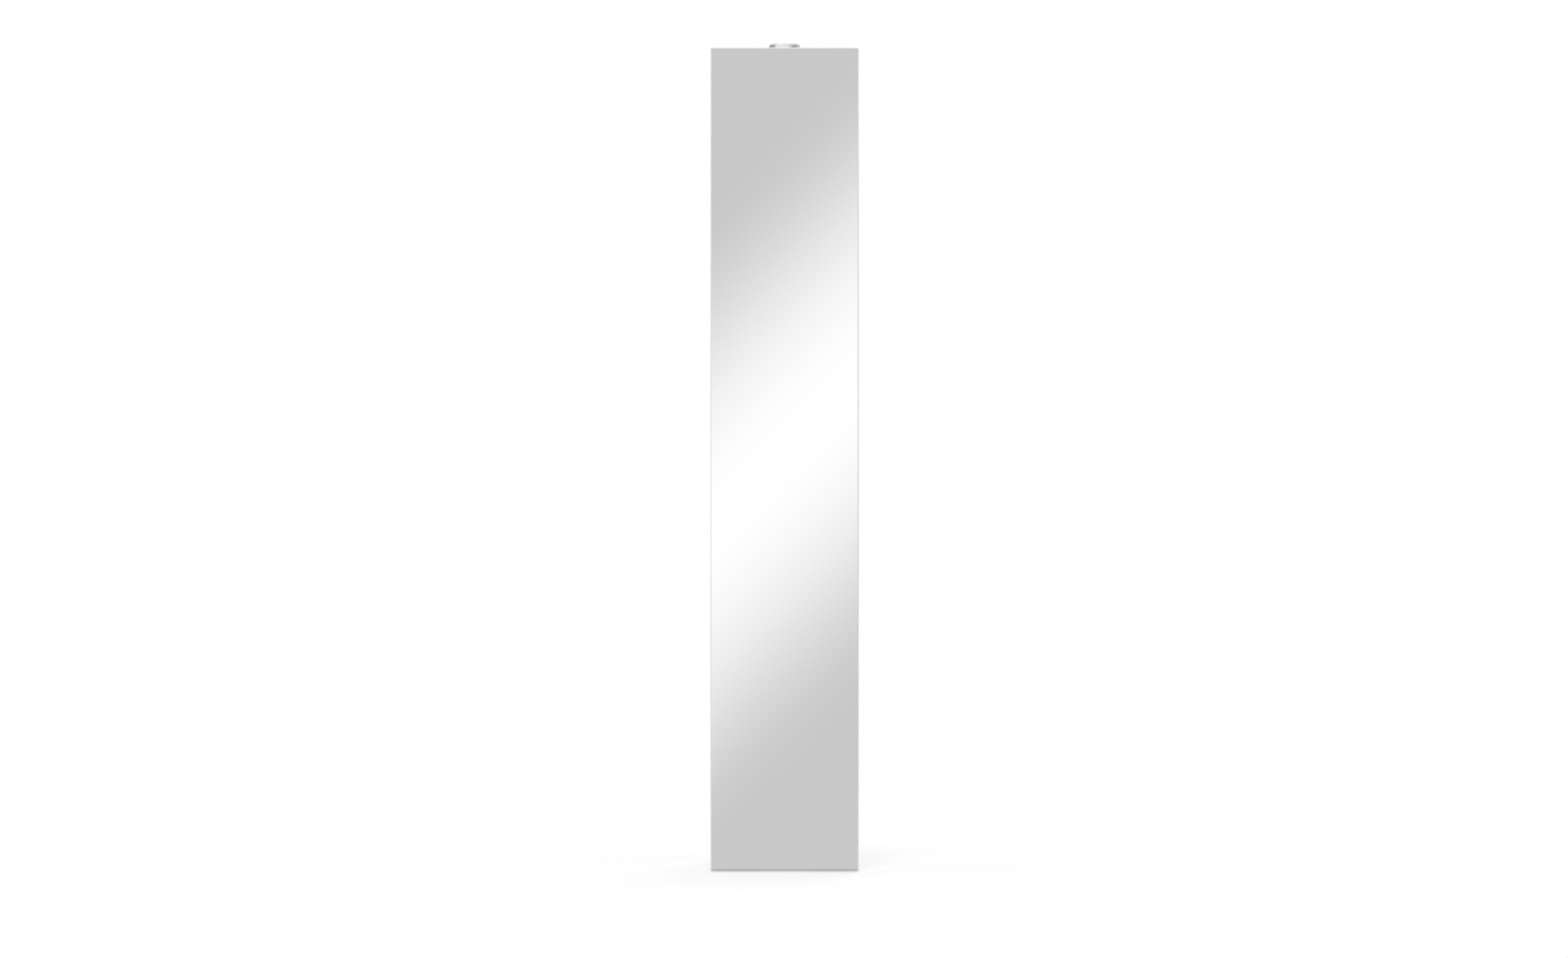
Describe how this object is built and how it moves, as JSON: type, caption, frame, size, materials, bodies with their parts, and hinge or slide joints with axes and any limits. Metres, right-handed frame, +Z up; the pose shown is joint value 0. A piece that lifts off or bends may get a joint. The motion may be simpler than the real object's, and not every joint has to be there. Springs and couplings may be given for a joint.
{
  "type": "rotating mirror cabinet",
  "caption": "Tall square cabinet column with a full-length mirror on one face and open shelves behind it; it turns all the way round on a hidden floor turntable under a wall-held top pivot.",
  "frame": {"origin": "on the turning axis, at floor level, in the middle of the anti-slip mat's underside", "axes": "+Z up along the turning axis, mirror facing -Y at rest, +Y towards the wall, +X to the right as seen from the mirror's front"},
  "size_m": [0.34, 0.4314, 1.91],
  "materials": {
    "white_board": "chipboard faced with white melamine, fine satin texture",
    "white_edging": "white plastic edging, satin",
    "white_cover": "white press-in covers, satin",
    "silvered_glass": "silvered float glass with ground edges",
    "foam_tape": "white foam mounting tape",
    "ledge_aluminium": "satin anodised",
    "race_aluminium": "turned, plain",
    "zinc_steel": "bright zinc plating",
    "cast_zinc": "die-cast zinc alloy",
    "bracket_steel": "satin nickel plating",
    "bright_chrome": "polished chrome plating",
    "ball_steel": "polished",
    "natural_plastic": "natural white bearing plastic",
    "grey_rubber": "anti-slip rubber",
    "beech": "fluted beech"
  },
  "bodies": {
    "stand": {"floor_mat": "grey_rubber", "floor_plate": "zinc_steel", "outer_race": "race_aluminium", "lower_race_screws": "zinc_steel", "wall_bracket": "bracket_steel", "pivot_bush": "natural_plastic", "bracket_cap": "bright_chrome"},
    "ball_set": {"ball_cage": "natural_plastic", "bearing_balls": "ball_steel"},
    "cabinet": {"left_side": "white_board", "right_side": "white_board", "front_panel": "white_board", "top_panel": "white_board", "bottom_panel": "white_board", "rear_plinth": "white_board", "fixed_shelf": "white_board", "lower_shelf_1": "white_board", "lower_shelf_2": "white_board", "upper_shelf_1": "white_board", "upper_shelf_2": "white_board", "side_edge_bands": "white_edging", "top_edge_bands": "white_edging", "shelf_edge_bands": "white_edging", "cam_covers": "white_cover", "mirror_glass": "silvered_glass", "mirror_tape": "foam_tape", "mirror_ledge": "ledge_aluminium", "inner_race": "race_aluminium", "pivot_plate": "zinc_steel", "upper_race_screws": "zinc_steel", "plinth_screws": "zinc_steel", "ledge_screws": "zinc_steel", "pivot_plate_screws": "zinc_steel", "cam_bolts": "zinc_steel", "shelf_pins": "zinc_steel", "pivot_bolt": "zinc_steel", "cam_nuts": "cast_zinc", "pivot_washer": "natural_plastic", "dowels": "beech"}
  },
  "joints": [
    {"name": "cabinet_turn", "type": "hinge", "parent": "stand", "child": "cabinet", "pos_m": [0, 0, 0], "axis": [0, 0, 1], "continuous": true},
    {"name": "cage_turn", "type": "hinge", "parent": "stand", "child": "ball_set", "pos_m": [0, 0, 0.0125], "axis": [0, 0, 1], "continuous": true}
  ],
  "couplings": [
    {"joint": "cage_turn", "follows": "cabinet_turn", "ratio": 0.4861}
  ]
}
